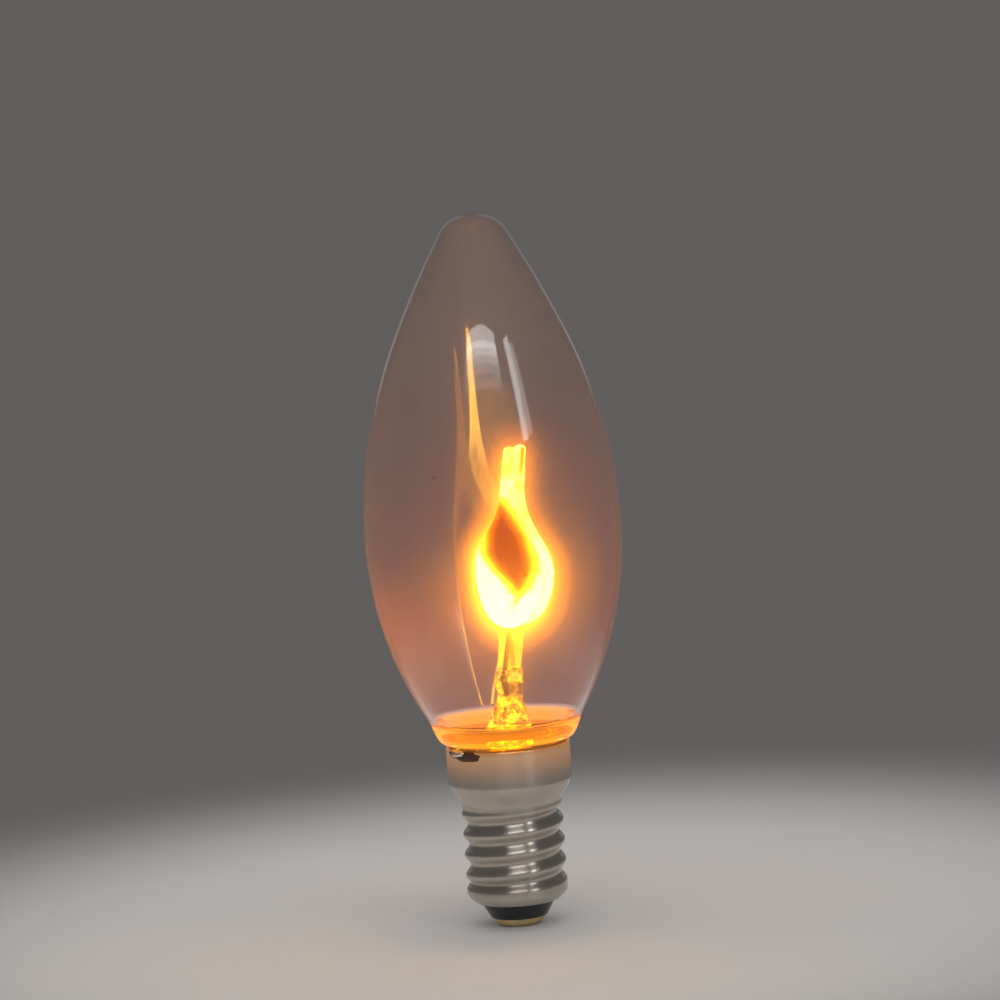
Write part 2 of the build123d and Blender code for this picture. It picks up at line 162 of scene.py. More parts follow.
def spread(points, count):
    """The same line with its points spread evenly along its length."""
    lengths = np.linalg.norm(np.diff(points, axis=0), axis=1)
    along = np.concatenate([[0.0], np.cumsum(lengths)])
    even = np.linspace(0.0, along[-1], count)
    return np.stack([np.interp(even, along, column) for column in points.T], axis=1)


def lathe(profile, columns=128):
    """Turn a profile of radius and height about the axis: x and y are the radius times the cosine
    and sine of the turn, z is the height."""
    turn = np.linspace(0.0, TURN, columns + 1)
    radius, height = profile[:, :1], profile[:, 1:]
    return np.stack(
        [radius * np.cos(turn), radius * np.sin(turn), height + 0 * turn], axis=-1
    )


# %% [markdown]
# ## Shader sums
# A material is a small graph of nodes. Writing it as Python sums keeps it readable, so one class
# wraps a socket: adding or multiplying two of them puts a Math node in the graph. Every other node
# comes from its one method, which takes the node's type, its settings and its sockets.

# %% Shader class
class Shade:
    """A socket in a material's graph. Sums of shades become Math nodes in the same graph."""

    def __init__(self, tree, socket=None):
        self.tree = tree
        self.socket = socket

    def node(self, kind, settings=None, sockets=None, out=0):
        """Add a node: its settings are set first, then the values or links of its sockets."""
        made = self.tree.nodes.new(kind)
        for name, value in (settings or {}).items():
            if name == "stops":
                while len(made.color_ramp.elements) < len(value):
                    made.color_ramp.elements.new(1.0)
                for element, (place, colour) in zip(made.color_ramp.elements, value):
                    element.position = place
                    element.color = (*colour, 1.0)
            else:
                setattr(made, name, value)
        for name, value in (sockets or {}).items():
            if isinstance(value, Shade):
                self.tree.links.new(value.socket, made.inputs[name])
            else:
                made.inputs[name].default_value = value
        return Shade(self.tree, made.outputs[out] if made.outputs else None)

    def math(self, operation, *values):
        """Add a Math node with these values in its sockets."""
        return self.node("ShaderNodeMath", {"operation": operation}, dict(enumerate(values)))

    def __add__(self, other):
        return self.math("ADD", self, other)

    def __radd__(self, other):
        return self.math("ADD", other, self)

    def __rsub__(self, other):
        return self.math("SUBTRACT", other, self)

    def __mul__(self, other):
        return self.math("MULTIPLY", self, other)

    def __truediv__(self, other):
        return self.math("DIVIDE", self, other)

    def __rtruediv__(self, other):
        return self.math("DIVIDE", other, self)

    def __pow__(self, other):
        return self.math("POWER", self, other)


# %% [markdown]
# A finish on a real thing is a colour, a shine and some unevenness, so a handful of helpers serves every
# material here. One makes the material with its plain values and one links a shade to a socket. The others
# give a mix of two colours, a ramp, cloudy noise, a bump and the place of the point on the bulb.

# %% Finish helpers
def new_finish(name, **constants):
    """A material with its Principled shader's sockets set to plain values."""
    material = bpy.data.materials.new(name)
    material.use_nodes = True
    shader = material.node_tree.nodes["Principled BSDF"]
    for socket, value in constants.items():
        shader.inputs[socket.replace("_", " ")].default_value = value
    return material, Shade(material.node_tree), shader


def feed(graph, shader, socket, value):
    """Link a shade to one of the shader's sockets."""
    graph.tree.links.new(value.socket, shader.inputs[socket])


def mix_colour(graph, factor, first, second):
    """A colour between two, by a factor from 0 to 1."""
    return graph.node(
        "ShaderNodeMix", {"data_type": "RGBA"}, {0: factor, 6: first, 7: second}, out=2
    )


def ramp(graph, value, start, end, kind="SMOOTHSTEP", low=0.0, high=1.0):
    """A shade that goes from low to high while a value goes from start to end, and stays there beyond."""
    return graph.node("ShaderNodeMapRange", {"interpolation_type": kind}, {
        "Value": value, "From Min": start, "From Max": end, "To Min": low, "To Max": high})


def cloud(graph, point, scale, detail):
    """Cloudy noise about a half, finer as the scale grows."""
    return graph.node("ShaderNodeTexNoise", None, {"Vector": point, "Scale": scale, "Detail": detail})


def roughen(graph, shader, height, strength, distance):
    """Bump the shader's normal by a shade taken as a height, over a distance in metres."""
    bump = graph.node("ShaderNodeBump", None, {"Height": height, "Strength": strength, "Distance": distance})
    feed(graph, shader, "Normal", bump)


def place_of(graph):
    """The point on the piece, in metres, and its x, y and z as shades."""
    point = graph.node("ShaderNodeTexCoord", out=3)
    parts = graph.tree.nodes.new("ShaderNodeSeparateXYZ")
    graph.tree.links.new(point.socket, parts.inputs[0])
    return point, [Shade(graph.tree, socket) for socket in parts.outputs]


def show(graph, shade):
    """Make a mix of shaders the material's surface."""
    graph.tree.links.new(shade.socket, graph.tree.nodes["Material Output"].inputs["Surface"])


def wear(piece, material):
    """Give a piece its finish."""
    piece.data.materials.clear()
    piece.data.materials.append(material)


# %% [markdown]
# ## The stage
# A plain floor, pale where the bulb stands and falling off to the grey of the backdrop, so that the
# clear glass and its glow read against a middle tone. The backdrop is the world's own colour: it is
# what camera, mirror and glass rays see, while soft rays get an even white light.

# %% Floor
FLOOR_RADIUS = 2500.0
FLOOR_DROP = 0.15
FLOOR_PALE = (0.52, 0.51, 0.5)
BACKDROP_GREY = (0.118, 0.112, 0.109)
PALE_RADIUS = 45.0
GREY_RADIUS = 150.0


def seen_rays(graph):
    """1 for camera, mirror and glass rays, which see the backdrop, and 0 for the rays of soft light."""
    kinds = graph.node("ShaderNodeLightPath").socket.node.outputs
    camera_ray = Shade(graph.tree, kinds["Is Camera Ray"])
    mirror_ray = Shade(graph.tree, kinds["Is Glossy Ray"])
    glass_ray = Shade(graph.tree, kinds["Is Transmission Ray"])
    return graph.math("MINIMUM", camera_ray + mirror_ray + glass_ray, 1.0)


floor_profile = np.array([[FLOOR_RADIUS, -FLOOR_DROP], [0.0, -FLOOR_DROP]])
floor_mesh, _ = make_mesh("floor", lathe(floor_profile)[::-1] * MM)
floor = bpy.data.objects.new("floor", floor_mesh)
bpy.context.scene.collection.objects.link(floor)
floor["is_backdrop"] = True
floor_finish, graph, shader = new_finish("floor_paint", Base_Color=(*FLOOR_PALE, 1), Roughness=0.75)
_, (x, y, _) = place_of(graph)
reach = (x * x + y * y) ** 0.5
fade = ramp(graph, reach, PALE_RADIUS * MM, GREY_RADIUS * MM, "SMOOTHERSTEP")
backdrop = graph.node("ShaderNodeEmission", None, {"Color": (*BACKDROP_GREY, 1), "Strength": 1.0})
paint = Shade(graph.tree, shader.outputs[0])
show(graph, graph.node("ShaderNodeMixShader", None, {0: fade * seen_rays(graph), 1: paint, 2: backdrop}))
wear(floor, floor_finish)
print("floor faces:", len(floor_mesh.polygons))

# %% [markdown]
# In a studio the walls are pale and far off, and the card behind the object is grey. A second mesh could
# stand for the card, but its edges would show. The world does both: it lights softly with an even white,
# and shows its grey only to the rays that look at it.

# %% World
AMBIENT = 0.72

world = bpy.data.worlds.new("studio")
bpy.context.scene.world = world
world.use_nodes = True
world.node_tree.nodes.clear()
sky = Shade(world.node_tree)
tone = mix_colour(sky, seen_rays(sky), (AMBIENT, AMBIENT, AMBIENT, 1), (*BACKDROP_GREY, 1))
air = sky.node("ShaderNodeBackground", None, {"Color": tone, "Strength": 1.0})
sky.node("ShaderNodeOutputWorld", None, {"Surface": air})
print("world ambient:", AMBIENT)

# %% [markdown]
# The lamps stand for a room with one window. Clear glass shows what it mirrors, so the window is laid
# out in degrees as the glass sees it: rows that dim from the bright sash downwards, and an upright
# strip at its right edge. An even softbox would leave a hard grey block on the glass. Two more strips
# stand behind, left and right, and draw the edges of the glass. The far wall of the glass mirrors the
# lamps in front, so glass rays see those. The two behind would show straight through it, so glass rays
# miss them.

# %% Lamps
LAMP_DISTANCE = 950.0
GLASS_MIDDLE = np.array([0.0, 0.0, 55.0])
WINDOW_WIDTH = (-22.0, 24.0)
WINDOW_ROWS = [
    (44.2, 46.4, 3.9), (42.4, 44.2, 6.5), (40.6, 42.4, 4.6),
    (38.6, 40.6, 3.0), (36.0, 38.6, 1.8), (32.0, 36.0, 0.9),
]
STRIPS = {
    "strip_inner": ((36.0, 42.5), (17.0, 42.0), 4.5),
    "strip_outer": ((42.5, 48.0), (18.0, 40.0), 2.0),
    "left_rim": ((-152.0, -166.0), (0.0, 55.0), 0.28),
    "right_rim": ((152.0, 166.0), (0.0, 55.0), 0.28),
}


def add_softbox(name, azimuth, elevation, brightness):
    """A rectangular lamp that faces the glass and fills these ranges of degrees, the azimuth counted to
    the right from the camera. Its watts are its brightness times pi times its area."""
    turn, rise = np.radians(np.mean(azimuth)), np.radians(np.mean(elevation))
    back = np.array([np.cos(rise) * np.sin(turn), -np.cos(rise) * np.cos(turn), np.sin(rise)])
    side = np.array([np.cos(turn), np.sin(turn), 0.0])
    lamp = bpy.data.lights.new(name, "AREA")
    lamp.shape = "RECTANGLE"
    lamp.size = LAMP_DISTANCE * np.cos(rise) * np.radians(np.ptp(azimuth)) * MM
    lamp.size_y = LAMP_DISTANCE * np.radians(np.ptp(elevation)) * MM
    lamp.energy = brightness * np.pi * lamp.size * lamp.size_y
    softbox = bpy.data.objects.new(name, lamp)
    turned = np.eye(4)
    turned[:3, :3] = np.stack([side, np.cross(back, side), back], axis=1)
    turned[:3, 3] = (GLASS_MIDDLE + LAMP_DISTANCE * back) * MM
    softbox.matrix_world = turned.T.tolist()
    softbox.visible_camera = False
    softbox.visible_transmission = bool(np.cos(turn) > 0)
    bpy.context.scene.collection.objects.link(softbox)


for row, (low, high, brightness) in enumerate(WINDOW_ROWS):
    add_softbox(f"window_row_{row}", WINDOW_WIDTH, (low, high), brightness)
for name, (azimuth, elevation, brightness) in STRIPS.items():
    add_softbox(name, azimuth, elevation, brightness)
print("lamps:", len(bpy.data.lights))

# %% [markdown]
# ## The glass envelope
# The real one is blown in a mould: a long flank, a belly, a slimmer shoulder and a round tip, with a
# thick bead where it was cut and sealed. Four tangent arcs give the outer face and four smaller ones
# the inner face. Both faces are one profile that starts and ends on the axis, so turning it gives a
# closed wall and the light bends twice, as in real glass.

# %% Glass envelope
CAP_TOP = 25.0
BULB_RADIUS = 17.5
BELLY_HEIGHT = CAP_TOP + 29.1
FLANK_RADIUS, FLANK_SWEEP = 50.0, 31.0
BELLY_RADIUS, BELLY_SWEEP = 67.0, 23.8
SHOULDER_RADIUS = 134.0
TIP_RADIUS = 5.25
GLASS_WALL = 0.7
BEAD_BOTTOM, BEAD_SIDE = (8.95, 25.45), (9.75, 26.6)
NECK_RADIUS, NECK_BOTTOM, NECK_MIDDLE = 7.3, 20.1, 23.0
THROAT_HEIGHT, THROAT_LIP = 26.65, (7.4, 27.3)

flank_centre = np.array([BULB_RADIUS - FLANK_RADIUS, BELLY_HEIGHT])
belly_centre = np.array([BULB_RADIUS - BELLY_RADIUS, BELLY_HEIGHT])
toward_shoulder = np.array([np.cos(np.radians(BELLY_SWEEP)), np.sin(np.radians(BELLY_SWEEP))])
shoulder_centre = belly_centre - (SHOULDER_RADIUS - BELLY_RADIUS) * toward_shoulder
tip_rise = np.sqrt((SHOULDER_RADIUS - TIP_RADIUS) ** 2 - shoulder_centre[0] ** 2)
tip_centre = np.array([0.0, shoulder_centre[1] + tip_rise])
tip_angle = np.degrees(np.arctan2(tip_rise, -shoulder_centre[0]))


def wall_line(inset):
    """The four arcs from the foot of the flank to the tip, this far inside the outer face."""
    return np.concatenate([
        arc(flank_centre, FLANK_RADIUS - inset, -FLANK_SWEEP, 0.0, 60)[:-1],
        arc(belly_centre, BELLY_RADIUS - inset, 0.0, BELLY_SWEEP, 50)[:-1],
        arc(shoulder_centre, SHOULDER_RADIUS - inset, BELLY_SWEEP, tip_angle, 40)[:-1],
        arc(tip_centre, TIP_RADIUS - inset, tip_angle, 90.0, 30),
    ])


outer, inner = wall_line(0.0), wall_line(GLASS_WALL)
inner[-1, 0] = outer[-1, 0] = 0.0
neck_inner = NECK_RADIUS - GLASS_WALL
throat = soften([
    inner[0], THROAT_LIP, (neck_inner, THROAT_HEIGHT), (neck_inner, NECK_MIDDLE), (neck_inner, NECK_BOTTOM),
    (NECK_RADIUS, NECK_BOTTOM), (NECK_RADIUS, NECK_MIDDLE), (NECK_RADIUS, BEAD_BOTTOM[1]),
    BEAD_BOTTOM, BEAD_SIDE, outer[0],
], 4)
glass_profile = np.concatenate([inner[::-1], throat[1:-1], outer])
bulb_glass, _ = add_piece("bulb_glass", lathe(glass_profile, 160), "clear_glass", "glass_envelope")
bulb_glass.visible_shadow = False

# %% [markdown]
# Clear glass is one shader, but a used lamp always has a faint film, and a bright flame behind it gets
# a soft orange fringe. A fringe painted on the glass would slide when the view turns. So a small share
# of rougher glass is mixed in: it spreads the flame's own light, from whichever side one looks. A less
# rough part makes the bright fringe at the flame's edge, and a rougher part the wide halo.

# %% Clear glass finish
GLASS_BEND = 1.5
FILM_SHARE, HALO_SHARE = 0.115, 0.62
FILM_START, FILM_FULL = 27.0, 33.0


def rough_glass(graph, colour, roughness, bend):
    """A tinted glass that spreads what is seen through it."""
    return graph.node("ShaderNodeBsdfPrincipled", None, {
        "Base Color": (*colour, 1), "Roughness": roughness, "IOR": bend, "Transmission Weight": 1.0})


# The emission strength below carries the painted flame glow of the next cell.
glass_finish, graph, shader = new_finish(
    "clear_glass", Roughness=0.0, IOR=GLASS_BEND, Transmission_Weight=1.0, Emission_Strength=0.12)
point, (x, y, z) = place_of(graph)
fringe = rough_glass(graph, (1.0, 0.5, 0.1), 0.28, GLASS_BEND)
halo = rough_glass(graph, (1.0, 0.42, 0.32), 0.58, GLASS_BEND)
film = graph.node("ShaderNodeMixShader", None, {0: HALO_SHARE, 1: fringe, 2: halo})
clear = Shade(graph.tree, shader.outputs[0])
share = ramp(graph, z, FILM_START * MM, FILM_FULL * MM, high=FILM_SHARE)
show(graph, graph.node("ShaderNodeMixShader", None, {0: share, 1: clear, 2: film}))
wear(bulb_glass, glass_finish)
print("film share:", FILM_SHARE)

# %% [markdown]
# The flame's light on the film is painted into the glass as a faint orange glow. It falls off with the
# square of the distance from the flame and comes back near the bead, where the wall guides light down to
# its cut edge, more on the left than on the right. For that guided light the glass below the top of the
# bead is also tinted amber, and the bead's outside has a strong painted orange glow. A few specks of dust
# and soot sit on the outside.

# %% Painted flame glow and specks
FLAME_HEART = np.array([1.6, 0.0, 48.0])
WASH_REACH = 10.0
WASH_NEAR, WASH_MIDDLE, WASH_SWING = 0.4, 0.3, 60.0
WASH_TOP, WASH_FULL, WASH_FOOT = 53.0, 41.0, 27.0
BEAD_TOP, BEAD_FULL = 28.6, 27.6
BEAD_INSIDE, BEAD_OUTSIDE = 8.6, 9.1
SPECK_SCALE, SPECK_SIZE, SPECK_RARITY = 260.0, 0.06, 0.9

heart = (FLAME_HEART * MM).tolist()
distance = graph.node("ShaderNodeVectorMath", {"operation": "DISTANCE"}, {0: point, 1: heart}, out=1)
near_flame = (WASH_REACH * MM / distance) ** 2.0
low = ramp(graph, z, WASH_TOP * MM, WASH_FULL * MM)
lifted = ramp(graph, z, WASH_FOOT * MM, WASH_FULL * MM, low=0.3)
# Painted light: emission on the glass for the flame's light, strongest near the flame and lower on the left.
painted_flame_glow = near_flame * WASH_NEAR + low * lifted * (WASH_MIDDLE - x / (WASH_SWING * MM))
painted_flame_glow_colour = mix_colour(graph, painted_flame_glow, (0, 0, 0, 1), (1.0, 0.17, 0.01, 1))
# Painted light at the bead: orange emission round its outside, and amber tinting below its top.
under = ramp(graph, z, BEAD_TOP * MM, BEAD_FULL * MM)
outside = ramp(graph, (x * x + y * y) ** 0.5, BEAD_INSIDE * MM, BEAD_OUTSIDE * MM)
feed(graph, shader, "Emission Color", mix_colour(graph, under * outside, painted_flame_glow_colour, (7.0, 1.8, 0.01, 1)))
cell = graph.node("ShaderNodeTexVoronoi", None, {"Vector": point, "Scale": SPECK_SCALE})
pick = Shade(graph.tree, cell.socket.node.outputs["Color"])
rare = graph.math("GREATER_THAN", graph.node("ShaderNodeSeparateColor", None, {0: pick}), SPECK_RARITY)
speck = graph.math("LESS_THAN", cell, SPECK_SIZE) * rare
painted_bead_tint = mix_colour(graph, under, (1.0, 0.97, 0.975, 1), (1.0, 0.72, 0.12, 1))
feed(graph, shader, "Base Color", mix_colour(graph, speck, painted_bead_tint, (0.1, 0.05, 0.03, 1)))
print("wash reaches, in mm:", WASH_REACH)

# %% [markdown]
# ## The flame plates
# Plates, leads and stem are one assembly that was melted into the glass a little askew: it leans and is
# turned. Its pieces could be made upright and rotated, but an object here stays unturned. So they are
# worked out in a frame of their own, and one function carries their points from it to the bulb.

# %% Frame of the stem
FLARE_HEIGHT = 20.4
MOUNT_LEAN, MOUNT_TURN = np.radians(3.6), np.radians(-28.0)
mount_x = np.array([
    np.cos(MOUNT_LEAN) * np.cos(MOUNT_TURN), np.sin(MOUNT_TURN), -np.sin(MOUNT_LEAN) * np.cos(MOUNT_TURN)])
mount_z = np.array([np.sin(MOUNT_LEAN), 0.0, np.cos(MOUNT_LEAN)])
mount_y = np.cross(mount_z, mount_x)


def on_mount(across, depth, rise):
    """Points given in the frame of the stem, as points of the bulb."""
    across, depth, rise = np.broadcast_arrays(across, depth, rise)
    foot = np.array([0.0, 0.0, FLARE_HEIGHT])
    return foot + across[..., None] * mount_x + depth[..., None] * mount_y + rise[..., None] * mount_z


# %% [markdown]
# Each plate is a drop drawn up to a narrow tip, stamped from thin sheet, crowned across and bent back at
# the top. It could be an outline with Solidify and Simple Deform modifiers. The surface here has two
# parameters, the height up the plate and the way round its edge, and the glow can use them again.

# %% Flame plates
PLATE_SHEET = 0.25
PLATE_SPACING = 3.2
PLATE_OFFSET = 0.5
PLATE_RISE = 20.7
PLATE_HEIGHT = 24.6
CROWN_RADIUS = 20.0
FLAME_HALF = 5.15
LEFT_HEIGHT, RIGHT_HEIGHT = 8.3, 7.4
NECK_HALF, NECK_HEIGHT = 0.95, 19.6
TIP_HALF, TIP_ROUND = 0.8, 0.3
BASE_FULL, BELLY_FULL, NECK_FULL = 3.1, 4.4, 6.4
BEND_HEIGHT, BEND_RADIUS = 15.0, 43.4


def bezier(points, count):
    """A cubic curve: the four points weighed by the cubes and squares of t and of 1 - t."""
    t = np.linspace(0.0, 1.0, count)[:, None]
    a, b, c, d = np.asarray(points, float)
    return a * (1 - t) ** 3 + 3 * b * t * (1 - t) ** 2 + 3 * c * t * t * (1 - t) + d * t ** 3


def flame_half(side_height, height):
    """Half the flame's width at these heights: two cubic curves from the base past the belly to the
    neck, which are as full as their handles are long, and a straight run to the tip."""
    low = bezier([(0, 0), (BASE_FULL, 0),
                  (FLAME_HALF, side_height - BELLY_FULL), (FLAME_HALF, side_height)], 200)
    high = bezier([(FLAME_HALF, side_height), (FLAME_HALF, side_height + BELLY_FULL),
                   (NECK_HALF, NECK_HEIGHT - NECK_FULL), (NECK_HALF, NECK_HEIGHT)], 200)
    line = np.concatenate([low, high[1:], [(TIP_HALF, PLATE_HEIGHT)]])
    return np.interp(height, line[:, 1], line[:, 0])


def sheet_depth(across, height):
    """How far the sheet lies behind its own middle: the rise of the crown's circle, and above the bend
    the rise of the bend's arc."""
    over = np.clip(height - BEND_HEIGHT, 0.0, None)
    crown = CROWN_RADIUS - np.sqrt(CROWN_RADIUS ** 2 - across ** 2)
    bend = BEND_RADIUS - np.sqrt(BEND_RADIUS ** 2 - over ** 2)
    return crown + bend


def plate_points(depth, rows=260, columns=60):
    """Rows run up the plate and columns round its section: over the front from left to right and back
    behind. Powers of the sine and cosine square the section off, and a root rounds the tip."""
    base = 0.5 - 0.5 * np.cos(np.linspace(0.0, np.pi, rows))
    height = (PLATE_HEIGHT * base)[:, None]
    left, right_half = flame_half(LEFT_HEIGHT, height), flame_half(RIGHT_HEIGHT, height)
    end = np.clip((PLATE_HEIGHT - height) / TIP_ROUND, 0.0, 1.0)
    left, right_half = left * np.sqrt(end), right_half * np.sqrt(end)
    swing = np.linspace(0.0, TURN, 2 * columns + 1)
    slide, face = -np.round(np.cos(swing), 9), -np.round(np.sin(swing), 9)
    flat = np.sign(slide) * np.abs(slide) ** 0.6
    across = np.where(flat < 0, left * flat, right_half * flat)
    thick = 0.5 * PLATE_SHEET * np.sign(face) * np.abs(face) ** 0.25 * np.minimum(1.0, 4 * end + 0.02)
    off = depth + sheet_depth(across, height) + thick
    across, height = np.broadcast_arrays(across, height)
    plate = np.stack([across, height, np.broadcast_to(np.sign(face), across.shape)], axis=-1)
    return on_mount(PLATE_OFFSET + across, off, PLATE_RISE + height), plate


# %% [markdown]
# The gas doesn't glow evenly over a plate. On the lamp the front plate is white at its rim and its foot and
# has a dark leaf in its middle, and the mirror images in the glass show what the backs do. A painted image
# could do that. Here each point keeps one number for its glow, worked out from its place on the plate.

# %% Glow on the plates
LEAF_SOFTNESS = 1.3
LEAF_GLOW, BACK_LEAF_GLOW, NOTCH_GLOW, BROWN_GLOW = 0.09, 0.1, 0.3, 0.57
YELLOW_BAND, BACK_BAND, BROWN_BAND = (7.0, 14.0), (13.0, 19.0), (11.5, 14.5)
BACK_LEAF_NARROWER, BACK_LEAF_LOWER, BACK_LEAF_FOOT = 0.8, 2.8, 10.0


def smooth_step(low, high, value):
    """0 below low, 1 above high, and a smooth rise between."""
    t = np.clip((value - low) / (high - low), 0.0, 1.0)
    return t * t * (3 - 2 * t)


LEAF_LINE = np.array([
    (1.6, 0.7, -1.3), (2.6, 0.9, 0.0), (4.2, 1.7, 0.4), (6.2, 1.7, 2.2), (7.9, 1.1, 3.6), (10.0, 0.2, 4.4),
    (13.0, -0.3, 3.6), (16.3, -0.8, 1.6), (19.2, -1.4, -1.4)])


def leaf_shade(across, height, inwards):
    """A dark leaf, 1 in its middle: its line has heights, middles and half-widths, and a soft step starts
    outside the edge and ends this far inside it."""
    middle, half = (np.interp(height, LEAF_LINE[:, 0], column) for column in LEAF_LINE[:, 1:].T)
    return smooth_step(-LEAF_SOFTNESS, inwards, half - np.abs(across - middle))


def notch_shade(across, height):
    """The dark notch at the tip of the rear plate: a narrow box with soft sides right of the middle."""
    beside = smooth_step(0.0, 0.35, across) * smooth_step(0.8, 0.62, across)
    return beside * smooth_step(20.2, 21.4, height) * smooth_step(24.45, 24.1, height)


def keep(piece, name, values):
    """Keep one number for each point of the piece, for its finish to read."""
    layer = piece.data.attributes.new(name, "FLOAT", "POINT")
    layer.data.foreach_set("value", values.astype(np.float32))


def add_plate(name, depth, node):
    """One plate with its glow kept on its points: 1 is the whitest gas and 0 the bare dark sheet. The
    front plate has the leaf on its face, the rear one a longer leaf on its back and the notch."""
    points, plate = plate_points(depth)
    piece, first = add_piece(name, points, "glowing_plate", node)
    across, height, face = plate.reshape(-1, 3)[first].T
    white = 1.0 - 0.2 * smooth_step(*YELLOW_BAND, height)
    if depth < 0:
        shade = leaf_shade(across, height, inwards=3.0)
        front = white * (1 - shade) + LEAF_GLOW * shade
        back = 0.76 + 0.19 * smooth_step(*BACK_BAND, height)
    else:
        notch = notch_shade(across, height)
        front = white * (1 - notch) + NOTCH_GLOW * notch
        left_gap = flame_half(LEFT_HEIGHT, height) + across
        right_gap = flame_half(RIGHT_HEIGHT, height) - across
        inside = smooth_step(0.15, 1.0, np.minimum(left_gap, right_gap))
        leaf_height = np.maximum(height + BACK_LEAF_LOWER, BACK_LEAF_FOOT)
        shade = leaf_shade(-BACK_LEAF_NARROWER * across, leaf_height, inwards=0.6) * inside
        brown = smooth_step(*BROWN_BAND, height + 0.9 * np.abs(across))
        back = (white * (1 - shade) + BACK_LEAF_GLOW * shade) * (1 - brown) + BROWN_GLOW * brown
    keep(piece, "glow", np.where(face < 0, front, back))
    return piece


front_plate = add_plate("flame_front", -PLATE_SPACING / 2, "front_plate")
rear_plate = add_plate("flame_rear", PLATE_SPACING / 2, "rear_plate")

# %% [markdown]
# Neon goes from brown through orange and yellow to white as it gets brighter. A colour ramp turns the kept
# number into that colour, and a little noise makes it uneven, as the gas is on a real plate.

# %% Glowing finish
GLOW_STRENGTH = 28.0
WISP_SCALE, WISP_LOW, WISP_RISE = 420.0, 0.76, 0.44


def kept(graph, name):
    """The number that the piece's points keep under this name."""
    return graph.node("ShaderNodeAttribute", {"attribute_name": name}, out=2)


plate_finish, graph, shader = new_finish(
    "glowing_sheet", Base_Color=(0.05, 0.015, 0.004, 1), Roughness=0.6, Emission_Strength=GLOW_STRENGTH)
point, _ = place_of(graph)
level = kept(graph, "glow") * (WISP_LOW + cloud(graph, point, WISP_SCALE, 3.0) * WISP_RISE)
colour = graph.node("ShaderNodeValToRGB", {"stops": [
    (0.0, (0.008, 0.0006, 0.0)),
    (0.12, (0.017, 0.0014, 0.0)),
    (0.3, (0.045, 0.008, 0.0)),
    (0.5, (0.10, 0.032, 0.0002)),
    (0.72, (0.2, 0.085, 0.003)),
    (1.0, (0.95, 0.5, 0.05)),
]}, {0: level})
feed(graph, shader, "Emission Color", colour)
wear(front_plate, plate_finish)
wear(rear_plate, plate_finish)
print("glow strength:", GLOW_STRENGTH)

# %% [markdown]
# Neon glows in the gas just off the sheet rather than on it, so the flame has no hard edge. A volume of
# light would show that best, but it is slow and other programs can't read it. So a soft ring of see-through
# light goes round each plate: brightest at the sheet's edge, and clear at its own outer edge.

# %% Gas round the plates
GAS_REACH, GAS_HALF = 4.2, 0.8
GAS_ALPHA = 0.27
GAS_RINGS = {"gas_front": (-PLATE_SPACING / 2, 1.0), "gas_rear": (PLATE_SPACING / 2, 0.22)}
GAS_WAIST, GAS_TIP = (8.0, 18.0), (22.0, 25.5)
NEIGHBOURS = range(-9, 10)


def gas_points(depth, sections=32, columns=320):
    """A closed ring with an oval section: the plate's outline, moved out along its own normal by the
    section's way out, and off the sheet by the section's thickness. Normals averaged along the outline
    round its corners."""
    height = np.linspace(0.0, PLATE_HEIGHT, 400)
    left = np.stack([-flame_half(LEFT_HEIGHT, height), height], axis=1)
    right_half = np.stack([flame_half(RIGHT_HEIGHT, height), height], axis=1)
    outline = spread(np.concatenate([left, right_half[::-1]]), columns + 1)[:-1]
    along = np.roll(outline, -1, axis=0) - np.roll(outline, 1, axis=0)
    normal = sum(np.roll(along[:, ::-1] * (-1, 1), shift, axis=0) for shift in NEIGHBOURS)
    normal /= np.linalg.norm(normal, axis=1)[:, None]
    closed = np.arange(columns + 1) % columns
    turn = np.linspace(0.0, TURN, sections + 1)[:, None]
    way = 0.5 - 0.5 * np.cos(turn)
    out = GAS_REACH * way - PLATE_SHEET / 2
    across = outline[closed, 0] + out * normal[closed, 0]
    height = outline[closed, 1] + out * normal[closed, 1]
    off = depth + sheet_depth(across, height) - GAS_HALF * np.sin(turn)
    dimmed = 0.4 * smooth_step(*GAS_WAIST, height) + 0.3 * smooth_step(*GAS_TIP, height)
    haze = (1 - way) ** 1.3 * (1 - dimmed)
    return on_mount(PLATE_OFFSET + across, off, PLATE_RISE + height), haze


gas_finish, graph, shader = new_finish(
    "flame_gas", Base_Color=(0, 0, 0, 1), Roughness=1.0, Specular_IOR_Level=0.0, Emission_Strength=4.5)
level = kept(graph, "haze")
warmth = ramp(graph, level, 0.3, 0.85, "LINEAR")
feed(graph, shader, "Alpha", level * GAS_ALPHA)
feed(graph, shader, "Emission Color", mix_colour(graph, warmth, (1.0, 0.27, 0.0, 1), (1.0, 0.57, 0.015, 1)))
for name, (depth, share) in GAS_RINGS.items():
    points, haze = gas_points(depth)
    gas, first = add_piece(name, points, "glowing_plate")
    keep(gas, "haze", (share * haze).reshape(-1)[first])
    wear(gas, gas_finish)
    gas.visible_shadow = False

# %% [markdown]
# Gas glows along the bare leads too, as a thin bright sleeve from the press up to the plates. A tube for
# each lead would look hard, so one see-through tube of light goes round both. Its alpha is higher at its
# left and right, where one looks along its wall.

# %% Glow round the leads
PRESS_TOP = 14.9
SLEEVE_LIFT, SLEEVE_OVERLAP = 0.15, 0.9
SLEEVE_WIDE, SLEEVE_WIDER = 1.45, 0.25
SLEEVE_DEEP, SLEEVE_DEEPER = 1.9, 0.1


